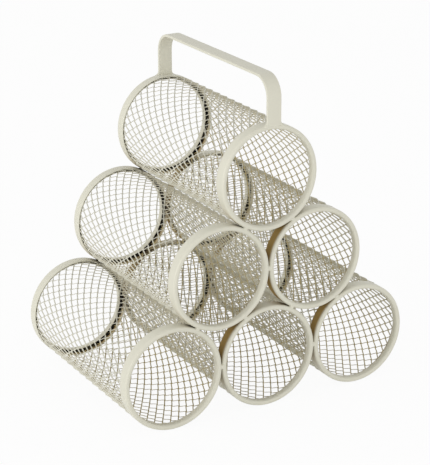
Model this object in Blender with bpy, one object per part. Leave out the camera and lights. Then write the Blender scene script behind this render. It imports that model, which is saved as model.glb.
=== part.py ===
"""Bottle rack: six round mesh tubes welded into a pyramid, with a strap handle on the top tube.

Run with: blender --background --python part.py
Metres, +Z up. The tubes lie along Y, the front is -Y, and the rack stands on its lowest rims at Z = 0.
Every tube is a mesh sleeve whose two edges sit in the slots of two folded channel rims. Neighbouring
rims are joined by weld beads between their lips, and the strap is welded onto the top tube's rims.
"""

import math

import bmesh
import bpy
from mathutils import Matrix, Vector

# Tubes and how they are stacked
TUBE_LENGTH = 0.204
BOTTOM_ROW_TUBES = 3
RIM_OUTER_DIAMETER = 0.100
RIM_GAP = 0.0006  # between the rims of neighbouring tubes, bridged by the weld beads
CLEARANCE = 0.0003  # between pieces that touch on the real rack

# Mesh sleeve, whose coarse cell stands for three by three cells of the real expanded mesh
MESH_SHEET = 0.0016  # over the raised strands
MESH_STRAND_WIDTH = 0.003
MESH_CELLS_AROUND = 12  # an even number, so that rims meet and rest face to face
MESH_CELLS_ALONG = 5

# Rim: a strip folded into a channel, whose bend is the round lip at the tube's mouth
RIM_LIP_DIAMETER = 0.00475
RIM_SHEET = 0.0009
RIM_BAND_WIDTH = 0.012  # outer leg of the channel, along the tube
RIM_FLANGE_WIDTH = 0.008  # inner leg of the channel
RIM_FACETS = 2 * MESH_CELLS_AROUND
LIP_STEPS = 3

# Strap handle
STRAP_WIDTH = 0.0145
STRAP_THICKNESS = 0.0025
STRAP_RISE = 0.0435  # from the top of the rims to the top of the strap
STRAP_CORNER_RADIUS = 0.020
STRAP_CORNER_STEPS = 6
STRAP_SIDE_OFFSET = 0.0035  # the strap stands a little to the right of the middle
STRAP_SETBACK = 0.0004  # of each leg's outer face from the tube's mouth
STRAP_FOOT_DEPTH = 0.004  # raw length of each leg below the top of the rims, before it is cut to shape

# Weld beads
RIM_WELD_LENGTH = 0.006  # along the line where two rims meet
RIM_WELD_SETBACK = 0.0002  # of the bead's face from the tube's mouth
RIM_WELD_STEPS = 4
RIM_WELD_ROOT_SHARE = 0.6  # depth of the bead's root, in lip radii
RIM_WELD_END_SHARE = 0.45  # depth of its face at either end, in lip radii
STRAP_WELD_LEG = 0.0035
STRAP_WELD_STEPS = 3

# Overrun of every cutter past what it cuts
CUT_OVERRUN = 0.010

# Places that follow from the sizes above
RIM_RADIUS = RIM_OUTER_DIAMETER / 2
RIM_OPENING_DIAMETER = RIM_OUTER_DIAMETER - 2 * RIM_LIP_DIAMETER
OPENING_RADIUS = RIM_OPENING_DIAMETER / 2
LIP_RADIUS = RIM_LIP_DIAMETER / 2
LIP_MID_RADIUS = OPENING_RADIUS + LIP_RADIUS
FACET_HALF_ANGLE = math.pi / RIM_FACETS
FACET_STRETCH = 1 / math.cos(FACET_HALF_ANGLE)  # from the middle of a facet out to its edge
LIP_TURN = math.pi / LIP_STEPS
LIP_FLAT_SINE = math.sin(LIP_TURN * (LIP_STEPS // 2))  # brings the lip's foremost points to the mouth
TUBE_PITCH = RIM_OUTER_DIAMETER + RIM_GAP
ROW_RISE = TUBE_PITCH * math.sqrt(3) / 2
HALF_LENGTH = TUBE_LENGTH / 2
RACK_TOP = RIM_OUTER_DIAMETER + (BOTTOM_ROW_TUBES - 1) * ROW_RISE
SLEEVE_OUTER_RADIUS = (RIM_RADIUS - CLEARANCE) * FACET_STRETCH  # flush with the rims, less the clearance
SLEEVE_INNER_RADIUS = SLEEVE_OUTER_RADIUS - MESH_SHEET
SLEEVE_MID_RADIUS = SLEEVE_OUTER_RADIUS - MESH_SHEET / 2
SLEEVE_HALF_LENGTH = HALF_LENGTH - LIP_RADIUS - CLEARANCE
HALF_CELL_ANGLE = math.pi / MESH_CELLS_AROUND

SIDES_OF_ENDS = {"front": -1, "rear": 1}
ROW_NAMES = ("bottom", "middle", "top")
COLUMN_NAMES = {3: ("left", "centre", "right"), 2: ("left", "right"), 1: ("",)}
RIM_COLOUR = (0.60, 0.59, 0.51)
MESH_COLOUR = (0.56, 0.55, 0.47)
WELD_COLOUR = (0.62, 0.60, 0.52)
COAT_ROUGHNESS = 0.45
SMOOTH_ANGLE = math.radians(35)


def clear_scene():
    for item in list(bpy.data.objects):
        bpy.data.objects.remove(item, do_unlink=True)


def powder_coat(name, colour):
    """Painted steel."""
    material = bpy.data.materials.new(name)
    material.use_nodes = True
    shader = material.node_tree.nodes["Principled BSDF"]
    shader.inputs["Base Color"].default_value = (*colour, 1)
    shader.inputs["Roughness"].default_value = COAT_ROUGHNESS
    shader.inputs["Metallic"].default_value = 0
    material.diffuse_color = (*colour, 1)
    return material


def finished_mesh(name, work, material):
    """Turns a bmesh into a smooth-shaded mesh whose faces point out."""
    bmesh.ops.recalc_face_normals(work, faces=work.faces)
    mesh = bpy.data.meshes.new(name)
    work.to_mesh(mesh)
    work.free()
    mesh.materials.append(material)
    mesh.shade_smooth()
    mesh.set_sharp_from_angle(angle=SMOOTH_ANGLE)
    return mesh


def add_piece(name, mesh, place, parent):
    """A named object at its place under its parent."""
    piece = bpy.data.objects.new(name, mesh)
    bpy.context.scene.collection.objects.link(piece)
    piece.parent = parent
    piece.matrix_basis = place
    return piece


def bridge_rings(work, rings):
    """Side faces between closed rings of vertices that lie one after another."""
    for here, there in zip(rings, rings[1:]):
        for side, corner in enumerate(here):
            after = (side + 1) % len(here)
            work.faces.new((corner, here[after], there[after], there[side]))


def capped_sweep(work, rings):
    """A closed solid from rings of vertices, with a face at either end."""
    bridge_rings(work, rings)
    work.faces.new(rings[0])
    work.faces.new(rings[-1])


def tube_centres():
    """The name and centre of every tube, from the bottom row up."""
    centres = {}
    for row in range(BOTTOM_ROW_TUBES):
        count = BOTTOM_ROW_TUBES - row
        for column, column_name in enumerate(COLUMN_NAMES[count]):
            name = "_".join(word for word in (ROW_NAMES[row], column_name) if word)
            across = (column - (count - 1) / 2) * TUBE_PITCH
            centres[name] = Vector((across, 0, RIM_RADIUS + row * ROW_RISE))
    return centres


def end_place(centre, side):
    """Turns and moves what is drawn inwards from a mouth at Y = 0 to the front or rear of a tube."""
    turn = Matrix.Rotation(math.pi * (1 + side) / 2, 4, "Z")
    return Matrix.Translation(centre + Vector((0, side * HALF_LENGTH, 0))) @ turn


def lip_arc(radius):
    """One face of the strip round the lip, from the outer leg to the inner one."""
    return [
        (
            LIP_MID_RADIUS + radius * math.cos(LIP_TURN * step),
            LIP_RADIUS - radius * math.sin(LIP_TURN * step) / LIP_FLAT_SINE,
        )
        for step in range(LIP_STEPS + 1)
    ]


def rim_outline():
    """Section of the folded channel, once round, as radius and distance from the mouth."""
    return [
        *lip_arc(LIP_RADIUS),
        (OPENING_RADIUS, RIM_FLANGE_WIDTH),
        (OPENING_RADIUS + RIM_SHEET, RIM_FLANGE_WIDTH),
        *reversed(lip_arc(LIP_RADIUS - RIM_SHEET)),
        (RIM_RADIUS - RIM_SHEET, RIM_BAND_WIDTH),
        (RIM_RADIUS, RIM_BAND_WIDTH),
    ]


def rim_mesh(material):
    """The channel spun about the tube's axis, with the middle of a facet at the very bottom."""
    work = bmesh.new()
    points = [work.verts.new((radius * FACET_STRETCH, depth, 0)) for radius, depth in rim_outline()]
    edges = [work.edges.new(pair) for pair in zip(points, points[1:] + points[:1])]
    half_facet = Matrix.Rotation(FACET_HALF_ANGLE, 3, "Y")
    bmesh.ops.rotate(work, verts=work.verts, matrix=half_facet)
    bmesh.ops.spin(
        work,
        geom=work.verts[:] + edges,
        axis=(0, 1, 0),
        cent=(0, 0, 0),
        angle=math.tau,
        steps=RIM_FACETS,
        use_merge=True,
    )
    return finished_mesh("rim", work, material)


class Lattice:
    """A rolled lattice of diamond cells, each strand a flattened bar whose ridges meet at the nodes.

    A node is (ring, spot). Rings of nodes follow one another along the tube, and every other ring is
    turned by half a cell. A strand's two ridges lie on the sheet's outer and inner faces, and its two
    sharp sides lie half-way through the sheet. Past the last ring but one the sheet draws in towards
    either edge, so that it passes under the rims' bands and into their slots.
    """

    def __init__(self):
        self.work = bmesh.new()
        self.rings = 2 * MESH_CELLS_ALONG
        half_cell_length = SLEEVE_HALF_LENGTH / MESH_CELLS_ALONG
        slope = math.atan2(SLEEVE_MID_RADIUS * HALF_CELL_ANGLE, half_cell_length)
        self.reach_along = MESH_STRAND_WIDTH / 2 / math.sin(slope)
        self.reach_around = MESH_STRAND_WIDTH / 2 / math.cos(slope) / SLEEVE_MID_RADIUS
        self.first = self.reach_along - SLEEVE_HALF_LENGTH
        self.step = -2 * self.first / self.rings
        self.full_reach = -self.first - self.step
        band_edge = HALF_LENGTH - RIM_BAND_WIDTH
        self.taper = RIM_SHEET * FACET_STRETCH / (band_edge - self.full_reach)
        self.ridges = {}
        for ring in range(self.rings + 1):
            for spot in range(MESH_CELLS_AROUND):
                self.ridges[ring, spot] = [
                    self.vertex((ring, spot), radius)
                    for radius in (SLEEVE_OUTER_RADIUS, SLEEVE_INNER_RADIUS)
                ]

    def vertex(self, node, radius, turn=0, shift=0):
        """A vertex at a node, or moved from it round the tube by turn and along it by shift."""
        ring, spot = node
        angle = FACET_HALF_ANGLE + (2 * spot + ring % 2) * HALF_CELL_ANGLE + turn
        along = self.first + ring * self.step + shift
        drawn = radius - self.taper * max(0, abs(along) - self.full_reach)
        return self.work.verts.new((drawn * math.cos(angle), along, drawn * math.sin(angle)))

    def clad(self, nodes, sides):
        """Faces from both ridges of a closed run of nodes to the sharp side next to it."""
        for index, node in enumerate(nodes):
            after = (index + 1) % len(nodes)
            for face in range(2):
                ridge = self.ridges[node][face]
                next_ridge = self.ridges[nodes[after]][face]
                self.work.faces.new((ridge, next_ridge, sides[after], sides[index]))

    def cut_cell(self, ring, spot):
        """The diamond opening between four nodes."""
        middle = (spot + ring % 2) % MESH_CELLS_AROUND
        after = (spot + 1) % MESH_CELLS_AROUND
        nodes = [(ring, spot), (ring - 1, middle), (ring, after), (ring + 1, middle)]
        turns = (self.reach_around, 0, -self.reach_around, 0)
        shifts = (0, self.reach_along, 0, -self.reach_along)
        sides = [
            self.vertex(node, SLEEVE_MID_RADIUS, turn, shift)
            for node, turn, shift in zip(nodes, turns, shifts)
        ]
        self.clad(nodes, sides)

    def trim_end(self, ring, outward):
        """The zigzag edge of the sheet, which sits in a rim's slot."""
        zigzag = []
        for spot in range(MESH_CELLS_AROUND):
            valley = (spot + ring % 2) % MESH_CELLS_AROUND
            zigzag += [(ring, spot), (ring - outward, valley)]
        sides = [
            self.vertex(node, SLEEVE_MID_RADIUS, shift=outward * self.reach_along) for node in zigzag
        ]
        self.clad(zigzag, sides)

    def mesh(self, material):
        for ring in range(1, self.rings):
            for spot in range(MESH_CELLS_AROUND):
                self.cut_cell(ring, spot)
        self.trim_end(0, -1)
        self.trim_end(self.rings, 1)
        return finished_mesh("sleeve", self.work, material)


def strap_path():
    """Middle line of the strap in Y and Z, from the front foot over the top to the rear foot."""
    middle = STRAP_THICKNESS / 2
    reach = HALF_LENGTH - STRAP_SETBACK - middle
    top = RACK_TOP + STRAP_RISE - middle
    bend = STRAP_CORNER_RADIUS - middle
    rear = [(reach, RACK_TOP - STRAP_FOOT_DEPTH)]
    for step in range(STRAP_CORNER_STEPS + 1):
        angle = math.pi / 2 * step / STRAP_CORNER_STEPS
        rear.append((reach - bend + bend * math.cos(angle), top - bend + bend * math.sin(angle)))
    return [Vector((0, -along, up)) for along, up in rear] + [Vector((0, *point)) for point in rear[::-1]]


def strap_mesh(material):
    """The strap: a flat bar carried along its path."""
    work = bmesh.new()
    path = strap_path()
    across = Vector((STRAP_WIDTH / 2, 0, 0))
    rings = []
    for index, point in enumerate(path):
        arriving = (point - path[index - 1]).normalized() if index else None
        leaving = (path[index + 1] - point).normalized() if point != path[-1] else arriving
        arriving = arriving or leaving
        along = (arriving + leaving).normalized()
        outward = Vector((0, -along.z, along.y)) * STRAP_THICKNESS / 2 / along.dot(arriving)
        corners = (-across - outward, across - outward, across + outward, outward - across)
        rings.append([work.verts.new(point + corner) for corner in corners])
    capped_sweep(work, rings)
    return finished_mesh("strap", work, material)


def rim_drum(parent, centre):
    """A cutter in the outer shape of the top tube's rims, larger by the clearance."""
    work = bmesh.new()
    radius = (RIM_RADIUS + CLEARANCE) * FACET_STRETCH
    bmesh.ops.create_cone(
        work,
        cap_ends=True,
        segments=RIM_FACETS,
        radius1=radius,
        radius2=radius,
        depth=TUBE_LENGTH + 2 * CUT_OVERRUN,
    )
    lying = Matrix.Rotation(math.pi / 2, 4, "X") @ Matrix.Rotation(FACET_HALF_ANGLE, 4, "Z")
    bmesh.ops.transform(work, matrix=lying, verts=work.verts)
    drum = add_piece("rim_drum", finished_mesh("rim_drum", work, None), Matrix.Translation(centre), parent)
    drum.hide_render = True
    drum.display_type = "WIRE"
    return drum


def seat_on_rim(piece, drum):
    """Cuts a piece so that it sits on the rims with the clearance."""
    cut = piece.modifiers.new("seat", "BOOLEAN")
    cut.operation = "DIFFERENCE"
    cut.object = drum


def strap_weld_mesh(material):
    """A hollow fillet in the corner between the strap's edge, at X = 0, and the rim below it."""
    work = bmesh.new()
    outline = [(0, -STRAP_FOOT_DEPTH), (STRAP_WELD_LEG, -STRAP_FOOT_DEPTH)]
    for step in range(STRAP_WELD_STEPS + 1):
        angle = math.pi / 2 * step / STRAP_WELD_STEPS
        outline.append(
            (STRAP_WELD_LEG * (1 - math.sin(angle)), STRAP_WELD_LEG * (1 - math.cos(angle)))
        )
    rings = [
        [work.verts.new((across, along, up)) for across, up in outline]
        for along in (-STRAP_THICKNESS / 2, STRAP_THICKNESS / 2)
    ]
    capped_sweep(work, rings)
    return finished_mesh("strap_weld", work, material)


def rim_weld_mesh(material):
    """A bead in the groove between two lips, deepest at its root and sunk at both ends."""
    work = bmesh.new()
    bevel_run = LIP_RADIUS * (1 - math.cos(LIP_TURN))
    side_gap = CLEARANCE * math.hypot(1, bevel_run / LIP_RADIUS)
    root = LIP_RADIUS * RIM_WELD_ROOT_SHARE
    sunk = LIP_RADIUS * RIM_WELD_END_SHARE

    def half_width(depth):
        """Of the groove at this depth, less the clearance."""
        return RIM_GAP / 2 + bevel_run * (1 - depth / LIP_RADIUS) - side_gap

    rings = []
    for step in range(RIM_WELD_STEPS + 1):
        level = 2 * step / RIM_WELD_STEPS - 1
        face = RIM_WELD_SETBACK + (sunk - RIM_WELD_SETBACK) * level * level
        up = level * RIM_WELD_LENGTH / 2
        front, back = half_width(face), half_width(root)
        section = ((-front, face), (front, face), (back, root), (-back, root))
        rings.append([work.verts.new((across, depth, up)) for across, depth in section])
    capped_sweep(work, rings)
    return finished_mesh("rim_weld", work, material)


def build_tubes(rack):
    rim = rim_mesh(powder_coat("rim_coat", RIM_COLOUR))
    sleeve = Lattice().mesh(powder_coat("mesh_coat", MESH_COLOUR))
    for name, centre in tube_centres().items():
        add_piece(f"mesh_sleeve_{name}", sleeve, Matrix.Translation(centre), rack)
        for end, side in SIDES_OF_ENDS.items():
            add_piece(f"{end}_rim_{name}", rim, end_place(centre, side), rack)


def build_rim_welds(rack, bead):
    """One bead at each end wherever two tubes touch."""
    tubes = list(tube_centres().items())
    for index, (name, centre) in enumerate(tubes):
        for other_name, other in tubes[index + 1 :]:
            between = other - centre
            if between.length > TUBE_PITCH + CLEARANCE:
                continue
            lean = math.atan2(between.z, between.x)
            for end, side in SIDES_OF_ENDS.items():
                turn = Matrix.Rotation(side * lean, 4, "Y")
                place = end_place((centre + other) / 2, side) @ turn
                add_piece(f"{end}_weld_{name}_to_{other_name}", bead, place, rack)


def build_handle(rack, weld_coat):
    """The strap, seated on the top tube's rims, and a weld at either edge of each leg."""
    centre = tube_centres()["top"]
    drum = rim_drum(rack, centre)
    offset = Matrix.Translation((STRAP_SIDE_OFFSET, 0, 0))
    strap = add_piece("strap_handle", strap_mesh(powder_coat("strap_coat", RIM_COLOUR)), offset, rack)
    seat_on_rim(strap, drum)
    bead = strap_weld_mesh(weld_coat)
    leg_middle = HALF_LENGTH - STRAP_SETBACK - STRAP_THICKNESS / 2
    edge = STRAP_WIDTH / 2 + CLEARANCE
    for end, side in SIDES_OF_ENDS.items():
        for hand, sign in (("left", -1), ("right", 1)):
            corner = Vector((STRAP_SIDE_OFFSET + sign * edge, side * leg_middle, RACK_TOP))
            turn = Matrix.Rotation(math.pi * (1 - sign) / 2, 4, "Z")
            place = Matrix.Translation(corner) @ turn
            weld = add_piece(f"{end}_strap_weld_{hand}", bead, place, rack)
            seat_on_rim(weld, drum)


def main():
    clear_scene()
    rack = bpy.data.objects.new("rack", None)
    bpy.context.scene.collection.objects.link(rack)
    weld_coat = powder_coat("weld_coat", WELD_COLOUR)
    build_tubes(rack)
    build_rim_welds(rack, rim_weld_mesh(weld_coat))
    build_handle(rack, weld_coat)


main()
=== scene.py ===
"""Bottle rack: six round mesh tubes welded in a pyramid, with a strap handle on the top tube.

Metres, +Z up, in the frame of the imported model. The tubes lie along Y and their front mouths
face -Y.
"""

import math

import bmesh
import bpy
from bpy.props import FloatProperty, FloatVectorProperty, IntProperty, PointerProperty
from mathutils import Matrix, Vector


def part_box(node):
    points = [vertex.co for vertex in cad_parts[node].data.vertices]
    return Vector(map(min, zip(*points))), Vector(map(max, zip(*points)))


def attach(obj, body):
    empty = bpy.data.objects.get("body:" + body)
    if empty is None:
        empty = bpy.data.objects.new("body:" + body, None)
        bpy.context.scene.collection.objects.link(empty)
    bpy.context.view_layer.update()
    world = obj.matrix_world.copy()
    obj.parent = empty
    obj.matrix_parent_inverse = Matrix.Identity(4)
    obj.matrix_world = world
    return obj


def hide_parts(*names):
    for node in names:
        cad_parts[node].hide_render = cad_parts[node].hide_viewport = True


bl_info = {
    "name": "Bottle Rack",
    "version": (1, 0, 0),
    "blender": (4, 5, 0),
    "location": "View3D > Sidebar > Bottle Rack",
    "description": "Mesh sleeves, folded rims, welds and strap handle of the packed bottle rack",
    "category": "Add Mesh",
}

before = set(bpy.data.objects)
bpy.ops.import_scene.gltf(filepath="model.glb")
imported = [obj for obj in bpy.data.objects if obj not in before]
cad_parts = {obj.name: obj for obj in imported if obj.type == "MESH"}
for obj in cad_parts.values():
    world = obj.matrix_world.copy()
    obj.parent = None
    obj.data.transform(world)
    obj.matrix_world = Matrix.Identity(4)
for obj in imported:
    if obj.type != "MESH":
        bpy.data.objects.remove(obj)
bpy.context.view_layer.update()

TUBES = ("bottom_left", "bottom_centre", "bottom_right", "middle_left", "middle_right", "top")
ENDS = {"front": -1, "rear": 1}
HANDS = {"left": -1, "right": 1}
RIM_LOW, RIM_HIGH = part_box("front_rim_top")
STRAP_LOW, STRAP_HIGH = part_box("strap_handle")
RIM_RADIUS = (RIM_HIGH.x - RIM_LOW.x) / 2
BAND_WIDTH = RIM_HIGH.y - RIM_LOW.y
HALF_LENGTH = -RIM_LOW.y
BAND_EDGE = HALF_LENGTH - BAND_WIDTH
SLEEVE_HALF_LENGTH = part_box("mesh_sleeve_top")[1].y


def tube_axis(name):
    """Where a tube's axis crosses the middle of the rack."""
    low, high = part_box(f"front_rim_{name}")
    return Vector(((low.x + high.x) / 2, 0, (low.z + high.z) / 2))


AXES = {name: tube_axis(name) for name in TUBES}
PITCH = (AXES["bottom_right"] - AXES["bottom_centre"]).length
# Tubes whose axes are closer together than this touch each other
TOUCHING_PITCH = 1.01 * PITCH


# Sizes and colours that a user may change


def length(default, name, description):
    return FloatProperty(
        name=name,
        description=description,
        default=default,
        min=0,
        subtype="DISTANCE",
        unit="LENGTH",
    )


def share(default, name, description):
    return FloatProperty(
        name=name, description=description, default=default, min=0, max=1, subtype="FACTOR"
    )


def colour(default, name, description):
    return FloatVectorProperty(
        name=name,
        description=description,
        default=default,
        min=0,
        max=1,
        size=3,
        subtype="COLOR",
    )


def camera_turn(degrees, name, description):
    return FloatProperty(
        name=name,
        description=description,
        default=math.radians(degrees),
        subtype="ANGLE",
        unit="ROTATION",
    )


def lamp_power(watts, name, description):
    return FloatProperty(
        name=name, description=description, default=watts, min=0, unit="POWER"
    )


class RackSizes(bpy.types.PropertyGroup):
    """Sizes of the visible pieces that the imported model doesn't give."""

    opening_diameter: length(0.0905, "Opening", "Clear opening of a rim")
    rim_sheet: length(0.0009, "Rim sheet", "Thickness of the strip that a rim is folded from")
    flange_width: length(0.007, "Flange width", "Inner leg of a rim's channel, along the tube")
    mesh_radius: length(0.0492, "Mesh radius", "Middle of the rolled mesh sheet")
    mesh_draw: length(0.0006, "Mesh draw", "How far the mesh draws in to pass under a band")
    draw_length: length(0.004, "Draw length", "Length over which the mesh draws in")
    mesh_raise: length(0.0007, "Mesh raise", "How far a bond's two sides stand up and down")
    mesh_thickness: length(0.00065, "Mesh thickness", "Thickness of the mesh sheet")
    strand_width: length(0.001, "Strand width", "Width of one strand of the mesh")
    strand_round: length(0.0002, "Strand rounding", "How far a strand's flat faces are narrowed")
    bond_width: length(0.0017, "Bond width", "Width of the bond where strands meet")
    tip_width: length(0.0007, "Tip width", "Width of the blunt end of a diamond opening")
    hem_width: length(0.0004, "Hem width", "Solid edge of the mesh, inside the rim's slot")
    cells_around: IntProperty(
        name="Cells around", description="Diamond openings once round a tube", default=36, min=8
    )
    rows_along: IntProperty(
        name="Rows along",
        description="Half cells from one edge of the mesh to the other",
        default=29,
        min=5,
    )
    strap_thickness: length(0.0025, "Strap thickness", "Thickness of the handle's flat bar")
    strap_corner: length(0.020, "Strap corner", "Outer radius of the handle's bends")
    strap_edge: length(0.0005, "Strap edge", "Rounding of the bar's edges")
    strap_sink: length(0.0016, "Strap sink", "How deep the strap's feet reach into the rims")
    rim_weld_length: length(0.0050, "Rim weld length", "Length of the weld between two lips")
    rim_weld_setback: length(0.00035, "Rim weld setback", "How far a weld lies behind the lips")
    strap_weld_leg: length(0.0034, "Strap weld leg", "Height and reach of a weld by the strap")


class RackFinish(bpy.types.PropertyGroup):
    """Colours and grain of the powder coat, and the colours of the shade painted on it."""

    coat: colour((0.70, 0.682, 0.57), "Coat", "Powder coat on the rims and the strap")
    mesh_coat: colour((0.66, 0.645, 0.545), "Mesh coat", "Powder coat on the mesh")
    # Painted shade colours: brown where shade falls between rims and in their channels, olive
    # brown on the mesh's shaded inner side
    painted_shade: colour((0.365, 0.24, 0.075), "Crevice", "Coat in the narrow gaps between rims")
    mesh_painted_shade: colour((0.42, 0.32, 0.1), "Mesh inside", "Coat on the shaded side of the mesh")
    # Painted black shadow deep in a rim's slot, on the mesh inside it and in the gaps between
    # touching bands
    slot: colour((0.006, 0.005, 0.004), "Slot", "Bare steel deep in a rim's slot")
    roughness: share(0.46, "Roughness", "Mean roughness of the coat")
    mottle: share(0.05, "Mottle", "Share by which the coat's tone wanders")
    grain_size: length(0.0009, "Grain size", "Width of the coat's fine orange peel")
    grain_depth: length(0.00004, "Grain depth", "Height of the coat's orange peel")


class RackStage(bpy.types.PropertyGroup):
    """Camera, floor and lamps."""

    azimuth: camera_turn(-30.21, "Azimuth", "Camera's turn round the rack")
    elevation: camera_turn(20.39, "Elevation", "Camera's height over the horizon")
    roll: camera_turn(-0.16, "Roll", "Camera's turn about its own line of sight")
    distance: length(1.65476, "Distance", "From the camera to the point that it looks at")
    target: FloatVectorProperty(
        name="Target",
        description="Point that the camera looks at",
        default=(0.00049, -0.0013, 0.14052),
        size=3,
        subtype="TRANSLATION",
        unit="LENGTH",
    )
    focal_length: FloatProperty(
        name="Focal length",
        description="Camera's focal length in millimetres",
        default=133.38,
        min=1,
    )
    floor_white: share(0.93, "Floor white", "Share of the floor that shows as plain white")
    daylight: FloatProperty(
        name="Daylight",
        description="Strength of the even light from all round",
        default=0.69,
        min=0,
    )
    key_power: lamp_power(36, "Key power", "Large soft lamp at the left")
    front_power: lamp_power(26, "Front power", "Soft lamp beside the camera")


def sizes():
    return bpy.context.scene.rack_sizes


def finish():
    return bpy.context.scene.rack_finish


# Shader maths and materials


class Wire:
    """An output socket on which sums and products are written as on a number."""

    def __init__(self, recipe, socket):
        self.recipe = recipe
        self.socket = socket

    def __add__(self, other):
        return self.recipe.maths("ADD", self, other)

    def __mul__(self, other):
        return self.recipe.maths("MULTIPLY", self, other)

    __radd__ = __add__
    __rmul__ = __mul__


# Places of the colours among the sockets of a Mix node
MIX_FIRST, MIX_SECOND, MIX_RESULT = 6, 7, 2


class Recipe:
    """The nodes of a material or of the world, added one by one."""

    def __init__(self, tree):
        self.tree = tree

    def node(self, kind, settings=None, values=None, output=0):
        """Adds a node, sets it up, fills or links its inputs and gives one of its outputs."""
        node = self.tree.nodes.new(kind)
        for name, setting in (settings or {}).items():
            setattr(node, name, setting)
        self.fill(node, values or {})
        return Wire(self, node.outputs[output])

    def fill(self, node, values):
        """Links the inputs that are given a wire and sets those that are given a value."""
        for name, value in values.items():
            if isinstance(value, Wire):
                self.tree.links.new(value.socket, node.inputs[name])
            else:
                node.inputs[name].default_value = value

    def maths(self, operation, *values):
        return self.node("ShaderNodeMath", {"operation": operation}, dict(enumerate(values)))

    def mix(self, share_of_second, first, second):
        """A colour between two others."""
        values = {0: share_of_second}
        for slot, tone in ((MIX_FIRST, first), (MIX_SECOND, second)):
            values[slot] = tone if isinstance(tone, Wire) else (*tone, 1)
        return self.node("ShaderNodeMix", {"data_type": "RGBA"}, values, MIX_RESULT)

    def mask(self, name):
        """A share from 0 to 1 that the mesh holds at each point."""
        return self.node("ShaderNodeAttribute", {"attribute_name": name}, output="Fac")

    def noise(self, place, feature_size, detail):
        values = {"Vector": place, "Scale": 1 / feature_size, "Detail": detail}
        return self.node("ShaderNodeTexNoise", values=values, output="Fac")


class Paint(Recipe):
    """A material and its main shader."""

    def __init__(self, name):
        self.material = bpy.data.materials.new(name)
        self.material.use_nodes = True
        super().__init__(self.material.node_tree)
        self.shader = self.tree.nodes["Principled BSDF"]


WANDER_SIZE = 0.03
WANDER_DETAIL = 2
WANDER_SHARE = 0.7
GRAIN_DETAIL = 3
GRAIN_SHARE = 0.3
GRAIN_ROUGHNESS = 0.16
PAINTED_SHADE_ROUGHNESS = 0.4
COAT_SPECULAR = 0.45


def powder_coat(name, base, shaded):
    """Satin powder coat with a fine orange peel and a slowly wandering tone.

    Two masks paint shade on it: a warm dark colour where shade falls, near black in deep shadow.
    """
    look = finish()
    paint = Paint(name)
    place = paint.node("ShaderNodeNewGeometry", output="Position")
    wander = paint.noise(place, WANDER_SIZE, WANDER_DETAIL)
    grain = paint.noise(place, look.grain_size, GRAIN_DETAIL)
    painted_shade = paint.mask("painted_shade")
    dark = tuple(tone * (1 - look.mottle) for tone in base)
    light = tuple(tone * (1 + look.mottle) for tone in base)
    tone = paint.mix(wander * WANDER_SHARE + grain * GRAIN_SHARE, dark, light)
    # Painted shade: a warm dark colour where shade falls, then near black where slots and gaps lie
    # in deep shadow
    tone = paint.mix(painted_shade, tone, shaded)
    tone = paint.mix(paint.mask("slot"), tone, look.slot)
    smoothest = look.roughness - GRAIN_ROUGHNESS / 2
    roughness = grain * GRAIN_ROUGHNESS + smoothest + painted_shade * PAINTED_SHADE_ROUGHNESS
    peel = {"Height": grain, "Distance": look.grain_depth, "Strength": 1.0}
    bump = paint.node("ShaderNodeBump", values=peel, output="Normal")
    paint.fill(paint.shader, {"Base Color": tone, "Roughness": roughness, "Normal": bump})
    paint.fill(paint.shader, {"Metallic": 0, "Specular IOR Level": COAT_SPECULAR})
    return paint.material


# Meshes

# Masks of painted shade: where a warm shade colour and where near-black shadow is painted
MASKS = ("painted_shade", "slot")
SMOOTH_ANGLE = math.radians(50)


def new_mesh(name, points, faces, material, masks=None):
    """A smooth mesh from points and faces; a mask that isn't given is 0 at every point."""
    mesh = bpy.data.meshes.new(name)
    mesh.from_pydata(points, [], faces)
    mesh.materials.append(material)
    for mask in MASKS:
        values = masks[mask] if masks else [0] * len(points)
        attribute = mesh.attributes.new(mask, "FLOAT", "POINT")
        attribute.data.foreach_set("value", values)
    work = bmesh.new()
    work.from_mesh(mesh)
    bmesh.ops.recalc_face_normals(work, faces=work.faces)
    work.to_mesh(mesh)
    work.free()
    mesh.shade_smooth()
    mesh.set_sharp_from_angle(angle=SMOOTH_ANGLE)
    return mesh


def add_piece(name, mesh, place, node):
    """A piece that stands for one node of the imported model."""
    piece = bpy.data.objects.new(name, mesh)
    bpy.context.scene.collection.objects.link(piece)
    piece.matrix_world = place
    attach(piece, "root")
    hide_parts(node)


def ring_faces(rings):
    """Quads between each closed ring of point numbers and the next."""
    faces = []
    for here, there in zip(rings, rings[1:]):
        for side, corner in enumerate(here):
            after = (side + 1) % len(here)
            faces.append((corner, here[after], there[after], there[side]))
    return faces


def ring_mesh(name, rings, material, closed=False, masks=None):
    """A mesh over a row of closed rings, which closes on itself or has a face at either end."""
    width = len(rings[0])
    starts = range(0, width * len(rings), width)
    numbers = [list(range(start, start + width)) for start in starts]
    if closed:
        faces = ring_faces(numbers + numbers[:1])
    else:
        faces = ring_faces(numbers) + [tuple(reversed(numbers[0])), tuple(numbers[-1])]
    points = [point for ring in rings for point in ring]
    return new_mesh(name, points, faces, material, masks)


def arc(centre, radius, first, last, steps):
    """Points on an arc between two angles in degrees, both ends included."""
    angles = [math.radians(first + (last - first) * step / steps) for step in range(steps + 1)]
    return [(centre[0] + radius * math.cos(a), centre[1] + radius * math.sin(a)) for a in angles]


def smooth_step(value, low, high):
    """0 below the low value, 1 above the high one and a smooth rise between."""
    t = min(1, max(0, (value - low) / (high - low)))
    return t * t * (3 - 2 * t)


def bell(value, width):
    """1 at 0, falling off evenly to both sides."""
    return math.exp(-((value / width) ** 2))


UNDERSIDE_START = -0.2
UNDERSIDE_END = 0.7


def underside_share(angle):
    """How far a point at this turn of a tube lies below the axis, where less light comes."""
    return smooth_step(-math.sin(angle), UNDERSIDE_START, UNDERSIDE_END)


# Mesh sleeves

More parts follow.
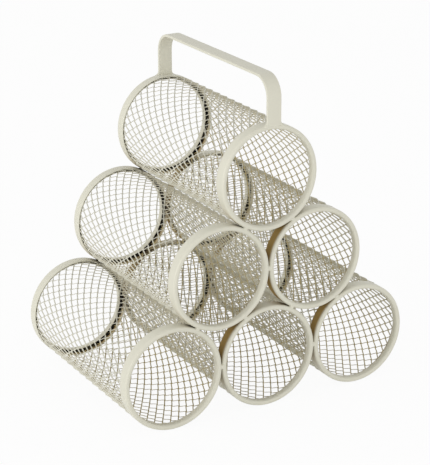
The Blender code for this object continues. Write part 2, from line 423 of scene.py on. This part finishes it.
# The two of the sheet's three levels that have faces
OUTER, INNER = 0, 2
# Share of its raise that a bond loses under a rim's band
PRESSED_SHARE = 0.8
# How far before the flange's end the painted slot shadow on the mesh begins to fade, and over what
# length
OUTER_SLOT_LEAD = 0.0010
INNER_SLOT_LEAD = 0.0002
SLOT_FADE = 0.0007
# Painted shade on the sheet's inner side: everywhere, at the bottom, and at the bottom near a slot
INNER_SHADE = 0.35
BOTTOM_SHADE = 0.45
NEAR_SLOT_SHADE = 0.2
NEAR_SLOT_END = BAND_WIDTH + 0.001
# How much painted shade the middle of an opening's walls gets
WALL_SHADE = 0.25


class DiamondSheet:
    """A rolled sheet of raised diamond mesh: openings in rows, each row turned by half a cell.

    An opening has eight corners on each of three levels: outer face, middle and inner face.
    Corners 0 and 1 lie beside the bond at its right, 2 and 3 at its upper tip, 4 and 5 beside
    the bond at its left, and 6 and 7 at its lower tip. The bond at the right of an opening
    stands low on this side and high on its far side.
    """

    def __init__(self):
        size = sizes()
        self.size = size
        lean = size.tip_width / size.bond_width
        self.raises = [size.mesh_raise * part for part in (-1, -1, lean, -lean, 1, 1, -lean, lean)]
        self.around = size.cells_around
        self.rows = size.rows_along
        self.half_turn = math.pi / self.around
        self.half_cell = size.mesh_radius * self.half_turn
        self.row_step = 2 * (SLEEVE_HALF_LENGTH - size.hem_width) / self.rows
        self.points = []
        self.slot_shadow_shares = []
        self.painted_shade_shares = []
        self.faces = []
        self.holes = {}
        self.hems = {}

    def outline(self, inset, row):
        """Corners of an opening in arc length and distance along, wider by the faces' inset."""
        size = self.size
        reach = self.half_cell * self.row_step / math.hypot(self.half_cell, self.row_step)
        level = 1 - (size.strand_width / 2 - inset) / reach
        side = self.half_cell - (size.bond_width / 2 - inset)
        tip = size.tip_width / 2
        high_side = max(0, self.row_step * (level - side / self.half_cell))
        high_tip = self.row_step * (level - tip / self.half_cell)
        low_side, low_tip = -high_side, -high_tip
        hem = size.hem_width - inset
        if row == 0:
            low_side = low_tip = hem
            high_side = max(high_side, hem + inset)
        if row == self.rows:
            high_side = high_tip = -hem
            low_side = min(low_side, -hem - inset)
        return [
            (side, low_side),
            (side, high_side),
            (tip, high_tip),
            (-tip, high_tip),
            (-side, high_side),
            (-side, low_side),
            (-tip, low_tip),
            (tip, low_tip),
        ]

    def place(self, row, spot, corner, level, rise, shade):
        """Adds a point and gives its number.

        The corner is in arc length and distance along from the middle of its opening. The level
        is the height over the sheet's middle, and the rise is what a bond adds to it.
        """
        across, along = corner
        size = self.size
        angle = (2 * spot + row % 2) * self.half_turn + across / size.mesh_radius
        y = -SLEEVE_HALF_LENGTH + size.hem_width + row * self.row_step + along
        banded = smooth_step(abs(y), BAND_EDGE - size.draw_length, BAND_EDGE)
        drawn = size.mesh_draw * banded
        radius = size.mesh_radius - drawn + level + rise * (1 - PRESSED_SHARE * banded)
        self.points.append((radius * math.cos(angle), y, radius * math.sin(angle)))
        depth = HALF_LENGTH - abs(y)
        # Painted shadow on the mesh inside a rim's slot
        dark_end = size.flange_width - (INNER_SLOT_LEAD if shade else OUTER_SLOT_LEAD)
        self.slot_shadow_shares.append(1 - smooth_step(depth, dark_end, dark_end + SLOT_FADE))
        # Painted shade on the inner side: stronger at the bottom, where less light comes, and near
        # a slot
        under = underside_share(angle)
        near_slot = under * (1 - smooth_step(depth, size.flange_width, NEAR_SLOT_END))
        gloom = INNER_SHADE + BOTTOM_SHADE * under + NEAR_SLOT_SHADE * near_slot
        self.painted_shade_shares.append(shade * gloom)
        return len(self.points) - 1

    def levels(self):
        """Of each level: height over the middle, how far its faces stand back, and its share of
        painted shade.
        """
        half = self.size.mesh_thickness / 2
        inset = self.size.strand_round
        return ((half, inset, 0), (0, 0, WALL_SHADE), (-half, inset, 1))

    def cut(self, row, spot):
        """The points and walls of one opening."""
        rings = [
            [
                self.place(row, spot, corner, level, rise, shade)
                for corner, rise in zip(self.outline(inset, row), self.raises)
            ]
            for level, inset, shade in self.levels()
        ]
        self.holes[row, spot] = rings
        self.faces += ring_faces(rings)

    def hem_corners(self, row):
        """Corners of an opening of the first or last row that face the sheet's edge."""
        return (5, 6, 7, 0) if row == 0 else (1, 2, 3, 4)

    def hem(self, row, spot):
        """The points of the sheet's edge beside an opening of the first or last row."""
        end = -1 if row == 0 else 1
        lines = []
        for level, inset, shade in self.levels():
            outline = self.outline(inset, row)
            along = end * (self.size.hem_width - inset)
            line = []
            for corner in self.hem_corners(row):
                place = (outline[corner][0], along)
                line.append(self.place(row, spot, place, level, self.raises[corner], shade))
            lines.append(line)
        self.hems[row, spot] = lines

    def neighbour(self, row, spot, row_shift, half_turns):
        """The opening this many rows on and half cells round."""
        position = 2 * spot + row % 2 + half_turns
        return row + row_shift, ((position - (row + row_shift) % 2) // 2) % self.around

    def face(self, level, corners):
        """A face on the outer or inner side of the sheet."""
        self.faces.append(tuple(corners if level == OUTER else reversed(corners)))

    def strands(self, row, spot, level):
        """The two strands above an opening."""
        here = self.holes[row, spot][level]
        right = self.holes[self.neighbour(row, spot, 1, 1)][level]
        left = self.holes[self.neighbour(row, spot, 1, -1)][level]
        self.face(level, (here[1], right[6], right[5], here[2]))
        self.face(level, (here[3], left[0], left[7], here[4]))

    def bond(self, row, spot, level):
        """The knot at the right of an opening."""
        left = self.holes[row, spot][level]
        right_key = self.neighbour(row, spot, 0, 2)
        right = self.holes[right_key][level]
        if row < self.rows:
            above = self.holes[self.neighbour(row, spot, 1, 1)][level]
            upper = (above[7], above[6])
        else:
            upper = (self.hems[right_key][level][3], self.hems[row, spot][level][0])
        if row > 0:
            below = self.holes[self.neighbour(row, spot, -1, 1)][level]
            lower = (below[3], below[2])
        else:
            lower = (self.hems[row, spot][level][3], self.hems[right_key][level][0])
        self.face(level, (right[5], right[4], *upper, left[1], left[0], *lower))

    def hem_faces(self, row, spot):
        """The sheet's edge beside an opening of the first or last row, up to the next one."""
        hem = self.hems[row, spot]
        following = self.hems[self.neighbour(row, spot, 0, 2)]
        hole = self.holes[row, spot]
        corners = self.hem_corners(row)
        for level in (OUTER, INNER):
            for step, (first, second) in enumerate(zip(corners, corners[1:])):
                inner = (hole[level][first], hole[level][second])
                self.face(level, (*inner, hem[level][step + 1], hem[level][step]))
        if row == 0:
            lines = [line + after[:1] for line, after in zip(hem, following)]
        else:
            lines = [after[-1:] + line for line, after in zip(hem, following)]
        for upper, lower in zip(lines, lines[1:]):
            for step in range(len(upper) - 1):
                self.faces.append((upper[step], upper[step + 1], lower[step + 1], lower[step]))

    def mesh(self, material):
        """The whole sheet: walls of the openings, both faces and both hems."""
        for row in range(self.rows + 1):
            for spot in range(self.around):
                self.cut(row, spot)
                if row in (0, self.rows):
                    self.hem(row, spot)
        for level in (OUTER, INNER):
            for row in range(self.rows + 1):
                for spot in range(self.around):
                    if row < self.rows:
                        self.strands(row, spot, level)
                    self.bond(row, spot, level)
        for row in (0, self.rows):
            for spot in range(self.around):
                self.hem_faces(row, spot)
        # The painted shade of the inner side and the painted shadow in the slots, as masks
        masks = {"painted_shade": self.painted_shade_shares, "slot": self.slot_shadow_shares}
        return new_mesh("diamond_mesh", self.points, self.faces, material, masks)


# Rims

RIM_SEGMENTS = 120
LIP_STEPS = 14
EDGE_STEPS = 4
# Places of the points along the band's outside, as shares of its width
BAND_STEPS = (0.75, 0.5, 0.35)
# Painted shade inside the channel, from the flange's end: where the painted black shadow begins on
# the flange, where it ends on the band and where the band has only painted brown shade
FLANGE_DARK = 0.0007
BAND_DARK = 0.0006
BAND_CLEAR = 0.0016
# How much painted brown shade the flange's end and the band's inside get
FLANGE_END_BROWN = 0.1
BAND_BROWN = 0.95
BAND_END_BROWN = 0.5
# Share of the channel's painted brown shade that is left at the top of a rim, where more light
# falls
TOP_BROWN = 0.3
# Painted shade in gaps between touching bands: strength and half angle of the painted black shadow
# and of the painted brown shade above and below the axis, and the depths over which they rise
# behind the mouth
GAP_DARK = 0.85
GAP_DARK_TURN = 0.17
GAP_BROWN = 0.6
GAP_BROWN_TURN_ABOVE = 0.12
GAP_BROWN_TURN_BELOW = 0.45
GAP_DARK_DEPTHS = (0.0015, 0.0050)
GAP_BROWN_DEPTHS = (0.0012, 0.0040)
# The three-sided pocket between tubes: widest turn between its two contacts, its painted brown
# shade near them, and the range in which its wall counts as facing left and gets painted brown
# shade
POCKET_TURN = math.radians(70)
POCKET_BROWN = 0.9
POCKET_BROWN_TURN = 0.3
LEFT_FACING = (0.2, 0.6)


def lip_radius():
    """Outer radius of the rounded lip at a rim's mouth."""
    return (RIM_RADIUS - sizes().opening_diameter / 2) / 2


def rim_outline():
    """Section of the folded strip, once round: radius, depth, share of painted slot shadow and
    share of painted brown shade.
    """
    size = sizes()
    opening = size.opening_diameter / 2
    lip = lip_radius()
    lip_centre = (opening + lip, lip)
    edge = size.rim_sheet / 2
    flange_back = opening + size.rim_sheet
    band_inside = RIM_RADIUS - size.rim_sheet
    flange_end = arc((opening + edge, size.flange_width - edge), edge, 180, 0, EDGE_STEPS)
    bend = arc(lip_centre, lip - size.rim_sheet, -180, 0, LIP_STEPS // 2)
    band_end = arc((RIM_RADIUS - edge, BAND_WIDTH - edge), edge, 180, 0, EDGE_STEPS)
    return [
        *((*point, 0, 0) for point in arc(lip_centre, lip, 0, -180, LIP_STEPS)),
        *((*point, 0, FLANGE_END_BROWN) for point in flange_end),
        (flange_back, size.flange_width - FLANGE_DARK, 1, 1),
        *((*point, 1, 1) for point in bend),
        (band_inside, size.flange_width + BAND_DARK, 1, 1),
        (band_inside, size.flange_width + BAND_CLEAR, 0, BAND_BROWN),
        (*band_end[0], 0, BAND_END_BROWN),
        *((*point, 0, 0) for point in band_end[1:]),
        *((RIM_RADIUS, step * BAND_WIDTH, 0, 0) for step in BAND_STEPS),
    ]


def gap_shares(angle, depth, neighbours):
    """How much painted brown shade and painted black shadow a point of a rim's band gets in the
    gaps to its neighbours.
    """
    turns = [(angle - neighbour + math.pi) % math.tau - math.pi for neighbour in neighbours]
    before = min((turn for turn in turns if turn >= 0), default=math.pi)
    after = min((-turn for turn in turns if turn < 0), default=math.pi)
    nearest = min(before, after)
    dark = GAP_DARK * bell(nearest, GAP_DARK_TURN)
    brown_turn = GAP_BROWN_TURN_ABOVE if math.sin(angle) > 0 else GAP_BROWN_TURN_BELOW
    brown = GAP_BROWN * bell(nearest, brown_turn)
    if before + after < POCKET_TURN:
        left_facing = smooth_step(-math.cos(angle), *LEFT_FACING)
        brown = max(left_facing, POCKET_BROWN * bell(nearest, POCKET_BROWN_TURN))
    brown *= smooth_step(depth, *GAP_BROWN_DEPTHS)
    dark *= smooth_step(depth, *GAP_DARK_DEPTHS)
    return brown, dark


def rim_mesh(name, side, material):
    """A tube's rim in place, with masks of the painted shade in its gaps and its slot."""
    centre = AXES[name]
    ways = [axis - centre for other, axis in AXES.items() if other != name]
    neighbours = [math.atan2(way.z, way.x) for way in ways if way.length < TOUCHING_PITCH]
    lip_middle = RIM_RADIUS - lip_radius()
    outline = rim_outline()
    rings, painted_shade, slot = [], [], []
    for segment in range(RIM_SEGMENTS):
        angle = math.tau * segment / RIM_SEGMENTS * -side
        # Painted brown shade of the channel, weaker at the top of a rim, where more light falls
        channel_brown = TOP_BROWN + (1 - TOP_BROWN) * underside_share(angle)
        ring = []
        for radius, depth, dark, brown in outline:
            y = side * (HALF_LENGTH - depth)
            ring.append(centre + Vector((radius * math.cos(angle), y, radius * math.sin(angle))))
            # Painted brown shade and painted black shadow in the gaps to touching neighbours
            gap_brown = gap_dark = 0
            if radius > lip_middle:
                gap_brown, gap_dark = gap_shares(angle, depth, neighbours)
            painted_shade.append(max(brown * channel_brown, gap_brown))
            slot.append(max(dark, gap_dark))
        rings.append(ring)
    masks = {"painted_shade": painted_shade, "slot": slot}
    return ring_mesh("rim", rings, material, closed=True, masks=masks)


# Strap handle

STRAP_BEND_STEPS = 16
# Height over the rims of the point that divides either leg of the strap
STRAP_FOOT_HEIGHT = 0.008


def strap_path():
    """Middle line of the strap in Y and Z, from the front foot over the top to the rear foot."""
    size = sizes()
    middle = size.strap_thickness / 2
    reach = STRAP_HIGH.y - middle
    top = STRAP_HIGH.z - middle
    bend = size.strap_corner - middle
    foot = RIM_HIGH.z - size.strap_sink
    rear = [(reach, foot), (reach, RIM_HIGH.z + STRAP_FOOT_HEIGHT)]
    rear += arc((reach - bend, top - bend), bend, 0, 90, STRAP_BEND_STEPS)
    return [(-y, z) for y, z in rear] + rear[::-1]


def strap_section():
    """Corners of the bar's section, across and through, with rounded edges."""
    size = sizes()
    half_width = (STRAP_HIGH.x - STRAP_LOW.x) / 2 - size.strap_edge
    half_thickness = size.strap_thickness / 2 - size.strap_edge
    section = []
    for across, through, first in ((1, 1, 0), (-1, 1, 90), (-1, -1, 180), (1, -1, 270)):
        centre = (across * half_width, through * half_thickness)
        section += arc(centre, size.strap_edge, first, first + 90, EDGE_STEPS)
    return section


def strap_mesh(material):
    """The bar's section drawn along the strap's middle line."""
    path = [Vector((0, *point)) for point in strap_path()]
    section = strap_section()
    middle = (STRAP_LOW.x + STRAP_HIGH.x) / 2
    rings = []
    for index, point in enumerate(path):
        arriving = (point - path[max(index - 1, 0)]).normalized()
        leaving = (path[min(index + 1, len(path) - 1)] - point).normalized()
        along = (arriving + leaving).normalized()
        stretch = 1 / along.dot(leaving if index == 0 else arriving)
        outward = Vector((0, -along.z, along.y)) * stretch
        rings.append(
            [
                point + Vector((middle + across, 0, 0)) + outward * through
                for across, through in section
            ]
        )
    return ring_mesh("strap", rings, material)


# Welds

BEAD_LEVELS = 12
BEAD_COLUMNS = 8
# How far a bead reaches into the lips beside it
BEAD_BITE = 0.00025
# Depth of a bead's back, as a share of the lip's radius
BEAD_ROOT = 0.9
# Hollow in the middle of a bead's face
BEAD_DIP = 0.00022
# How suddenly a bead sinks at its ends
BEAD_TAPER = 4
FILLET_SLICES = 10
FILLET_STEPS = 8
# How far a fillet's underside lies inside the rim
FILLET_SINK = 0.0018
# Half the length of a fillet, in thicknesses of the strap
FILLET_REACH = 0.56
# How far a fillet shrinks at its ends, and how suddenly
FILLET_CLOSURE = 0.96
FILLET_TAPER = 4


def lip_gap(depth):
    """Half the width of the groove between two lips at this depth."""
    lip = lip_radius()
    return PITCH / 2 - RIM_RADIUS + lip - math.sqrt(max(0, lip * lip - (lip - depth) ** 2))


def rim_weld_mesh(material):
    """A bead in the groove between two lips, sunk at both ends, with its depth along +Y."""
    size = sizes()
    root = BEAD_ROOT * lip_radius()
    rings = []
    for level in range(BEAD_LEVELS + 1):
        t = 2 * level / BEAD_LEVELS - 1
        face = size.rim_weld_setback + (root - size.rim_weld_setback) * t**BEAD_TAPER
        up = t * size.rim_weld_length / 2
        spread = RIM_RADIUS - math.sqrt(RIM_RADIUS**2 - up**2)
        half_width = lip_gap(face) + spread + BEAD_BITE
        back = lip_gap(root) + spread + BEAD_BITE
        ring = []
        for column in range(BEAD_COLUMNS + 1):
            across = 2 * column / BEAD_COLUMNS - 1
            dip = BEAD_DIP * (1 - across * across)
            ring.append((across * half_width, face + dip * (1 - t * t), up))
        ring += [(across, root + BEAD_BITE, up) for across in (back, -back)]
        rings.append(ring)
    return ring_mesh("rim_weld", rings, material)


def rim_top(x):
    """Height of the top tube's rims this far from the middle."""
    return RIM_HIGH.z - RIM_RADIUS + math.sqrt(RIM_RADIUS**2 - x**2)


def strap_weld_mesh(side, hand, material):
    """A hollow fillet in the corner between the strap's edge and the rim below it, in place."""
    size = sizes()
    edge = STRAP_HIGH.x if hand > 0 else STRAP_LOW.x
    inner = edge - hand * size.strap_edge
    middle = STRAP_HIGH.y - size.strap_thickness / 2
    rings = []
    for index in range(FILLET_SLICES + 1):
        t = 2 * index / FILLET_SLICES - 1
        leg = size.strap_weld_leg * math.sqrt(1 - (FILLET_CLOSURE * t) ** FILLET_TAPER)
        outer = edge + hand * leg
        y = side * (middle + t * size.strap_thickness * FILLET_REACH)
        ring = []
        for step in range(FILLET_STEPS + 1):
            angle = math.radians(90 * step / FILLET_STEPS)
            x = edge + hand * leg * (1 - math.sin(angle))
            ring.append((x, y, rim_top(x) + leg * (1 - math.cos(angle))))
        ring.append((inner, y, rim_top(edge) + leg))
        ring.append((inner, y, rim_top(edge) - FILLET_SINK))
        ring.append((outer, y, rim_top(outer) - FILLET_SINK))
        rings.append(ring)
    return ring_mesh("strap_weld", rings, material)


# Stage

WHITE = (1, 1, 1, 1)
FLOOR_REACH = 12
# The floor lies just under the mesh, which reaches a little below the rims
FLOOR_HEIGHT = -0.0003
PAPER_COLOUR = (0.97, 0.97, 0.97, 1)
PAPER_ROUGHNESS = 0.9
BACKDROP_RAYS = ("Is Camera Ray", "Is Glossy Ray", "Is Transmission Ray")
KEY_LAMP_PLACE = (-3.0, 0.4, 0.5)
FRONT_LAMP_PLACE = (-0.3, -3.0, 0.3)
LAMP_WIDTH = 1.6
LAMP_AIM = Vector((0, 0, 0.14))
# In millimetres, as the focal length is
SENSOR_WIDTH = 36
NEAREST_SEEN = 0.05


# Operators, one for each group of pieces


class RACK_OT_mesh_sleeves(bpy.types.Operator):
    """Roll the diamond mesh of every tube"""

    bl_idname = "rack.mesh_sleeves"
    bl_label = "Mesh Sleeves"

    def execute(self, context):
        coat = powder_coat("mesh_coat", finish().mesh_coat, finish().mesh_painted_shade)
        mesh = DiamondSheet().mesh(coat)
        for name, axis in AXES.items():
            place = Matrix.Translation(axis)
            node = f"mesh_sleeve_{name}"
            add_piece(f"diamond_mesh_{name}", mesh, place, node)
        return {"FINISHED"}


class RACK_OT_rims(bpy.types.Operator):
    """Fold the rims at both mouths of every tube"""

    bl_idname = "rack.rims"
    bl_label = "Folded Rims"

    def execute(self, context):
        coat = powder_coat("rim_coat", finish().coat, finish().painted_shade)
        for name in TUBES:
            for end, side in ENDS.items():
                mesh = rim_mesh(name, side, coat)
                node = f"{end}_rim_{name}"
                add_piece(f"folded_{node}", mesh, Matrix(), node)
        return {"FINISHED"}


class RACK_OT_rim_welds(bpy.types.Operator):
    """Weld neighbouring rims together"""

    bl_idname = "rack.rim_welds"
    bl_label = "Rim Welds"

    def execute(self, context):
        coat = powder_coat("weld_coat", finish().coat, finish().painted_shade)
        bead = rim_weld_mesh(coat)
        # The node of a weld is named for its end and the two tubes that it joins
        for node in sorted(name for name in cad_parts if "_to_" in name):
            end, pair = node.split("_weld_")
            first, second = (AXES[name] for name in pair.split("_to_"))
            side = ENDS[end]
            between = second - first
            lean = Matrix.Rotation(side * math.atan2(between.z, between.x), 4, "Y")
            turn = Matrix.Rotation(math.pi * (1 + side) / 2, 4, "Z")
            mouth = Vector((0, side * HALF_LENGTH, 0))
            place = Matrix.Translation((first + second) / 2 + mouth) @ turn @ lean
            add_piece(f"bead_{node}", bead, place, node)
        return {"FINISHED"}


class RACK_OT_strap_handle(bpy.types.Operator):
    """Bend the strap over the top tube and weld its feet to the rims"""

    bl_idname = "rack.strap_handle"
    bl_label = "Strap Handle"

    def execute(self, context):
        coat = powder_coat("strap_coat", finish().coat, finish().painted_shade)
        add_piece("bent_strap", strap_mesh(coat), Matrix(), "strap_handle")
        for end, side in ENDS.items():
            for name, hand in HANDS.items():
                node = f"{end}_strap_weld_{name}"
                fillet = strap_weld_mesh(side, hand, coat)
                add_piece(f"fillet_{node}", fillet, Matrix(), node)
        return {"FINISHED"}


class RACK_OT_stage(bpy.types.Operator):
    """Lay the floor, hang the lamps and place the camera"""

    bl_idname = "rack.stage"
    bl_label = "Stage"

    def execute(self, context):
        stage = context.scene.rack_stage
        context.scene.view_settings.view_transform = "Standard"
        self.lay_floor(stage)
        self.light_world(context.scene, stage)
        self.hang_lamps(stage)
        self.place_camera(context.scene, stage)
        return {"FINISHED"}

    def seen_directly(self, recipe):
        """1 for what shows to the camera, in a gloss or through glass, and 0 for other light."""
        camera, glossy, through = (
            recipe.node("ShaderNodeLightPath", output=name) for name in BACKDROP_RAYS
        )
        return recipe.maths("MAXIMUM", recipe.maths("MAXIMUM", camera, glossy), through)

    def lay_floor(self, stage):
        reach = FLOOR_REACH
        corners = [(-reach, -reach, 0), (reach, -reach, 0), (reach, reach, 0), (-reach, reach, 0)]
        mesh = bpy.data.meshes.new("floor")
        mesh.from_pydata(corners, [], [(0, 1, 2, 3)])
        floor = bpy.data.objects.new("floor", mesh)
        bpy.context.scene.collection.objects.link(floor)
        floor.location.z = FLOOR_HEIGHT
        paper = Paint("floor_paper")
        paper.fill(paper.shader, {"Base Color": PAPER_COLOUR, "Roughness": PAPER_ROUGHNESS})
        paper.fill(paper.shader, {"Specular IOR Level": 0})
        lit = Wire(paper, paper.shader.outputs[0])
        white = paper.node("ShaderNodeEmission", values={"Color": WHITE, "Strength": 1.0})
        seen = self.seen_directly(paper) * stage.floor_white
        mixed = paper.node("ShaderNodeMixShader", values={0: seen, 1: lit, 2: white})
        paper.fill(paper.tree.nodes["Material Output"], {"Surface": mixed})
        mesh.materials.append(paper.material)

    def light_world(self, scene, stage):
        """Even daylight on the rack, in front of a plain white backdrop."""
        world = bpy.data.worlds.new("studio")
        scene.world = world
        world.use_nodes = True
        recipe = Recipe(world.node_tree)
        strength = self.seen_directly(recipe) * (1 - stage.daylight) + stage.daylight
        background = world.node_tree.nodes["Background"]
        recipe.fill(background, {"Color": WHITE, "Strength": strength})

    def hang_lamps(self, stage):
        lamps = (
            ("key", stage.key_power, KEY_LAMP_PLACE),
            ("front", stage.front_power, FRONT_LAMP_PLACE),
        )
        for name, power, place in lamps:
            lamp = bpy.data.lights.new(name, "AREA")
            lamp.energy = power
            lamp.size = LAMP_WIDTH
            holder = bpy.data.objects.new(name, lamp)
            bpy.context.scene.collection.objects.link(holder)
            holder.location = place
            holder.rotation_mode = "QUATERNION"
            holder.rotation_quaternion = (LAMP_AIM - Vector(place)).to_track_quat("-Z", "Y")

    def place_camera(self, scene, stage):
        a, e = stage.azimuth, stage.elevation
        back = Vector((math.sin(a) * math.cos(e), -math.cos(a) * math.cos(e), math.sin(e)))
        level = Vector((math.cos(a), math.sin(a), 0))
        upright = back.cross(level)
        right = level * math.cos(stage.roll) + upright * math.sin(stage.roll)
        up = back.cross(right)
        camera = bpy.data.cameras.new("camera")
        camera.lens = stage.focal_length
        camera.sensor_width = SENSOR_WIDTH
        camera.clip_start = NEAREST_SEEN
        holder = bpy.data.objects.new("camera", camera)
        scene.collection.objects.link(holder)
        turn = Matrix((right, up, back)).transposed().to_4x4()
        eye = Vector(stage.target) + back * stage.distance
        holder.matrix_world = Matrix.Translation(eye) @ turn
        scene.camera = holder


class RACK_PT_panel(bpy.types.Panel):
    """Buttons for the pieces, and their sizes, colours and stage"""

    bl_idname = "RACK_PT_panel"
    bl_label = "Bottle Rack"
    bl_space_type = "VIEW_3D"
    bl_region_type = "UI"
    bl_category = "Bottle Rack"

    def draw(self, context):
        for operator in OPERATORS:
            self.layout.operator(operator.bl_idname)
        for name in GROUPS:
            group = getattr(context.scene, name)
            box = self.layout.box()
            for setting in group.__annotations__:
                box.prop(group, setting)


OPERATORS = (
    RACK_OT_mesh_sleeves,
    RACK_OT_rims,
    RACK_OT_rim_welds,
    RACK_OT_strap_handle,
    RACK_OT_stage,
)
GROUPS = {"rack_sizes": RackSizes, "rack_finish": RackFinish, "rack_stage": RackStage}


def register():
    for kind in (*GROUPS.values(), *OPERATORS, RACK_PT_panel):
        bpy.utils.register_class(kind)
    for name, group in GROUPS.items():
        setattr(bpy.types.Scene, name, PointerProperty(type=group))


def unregister():
    for name in GROUPS:
        delattr(bpy.types.Scene, name)
    for kind in (RACK_PT_panel, *reversed(OPERATORS), *GROUPS.values()):
        bpy.utils.unregister_class(kind)


def main():
    register()
    bpy.ops.rack.mesh_sleeves()
    bpy.ops.rack.rims()
    bpy.ops.rack.rim_welds()
    bpy.ops.rack.strap_handle()
    bpy.ops.rack.stage()


if __name__ == "__main__":
    main()
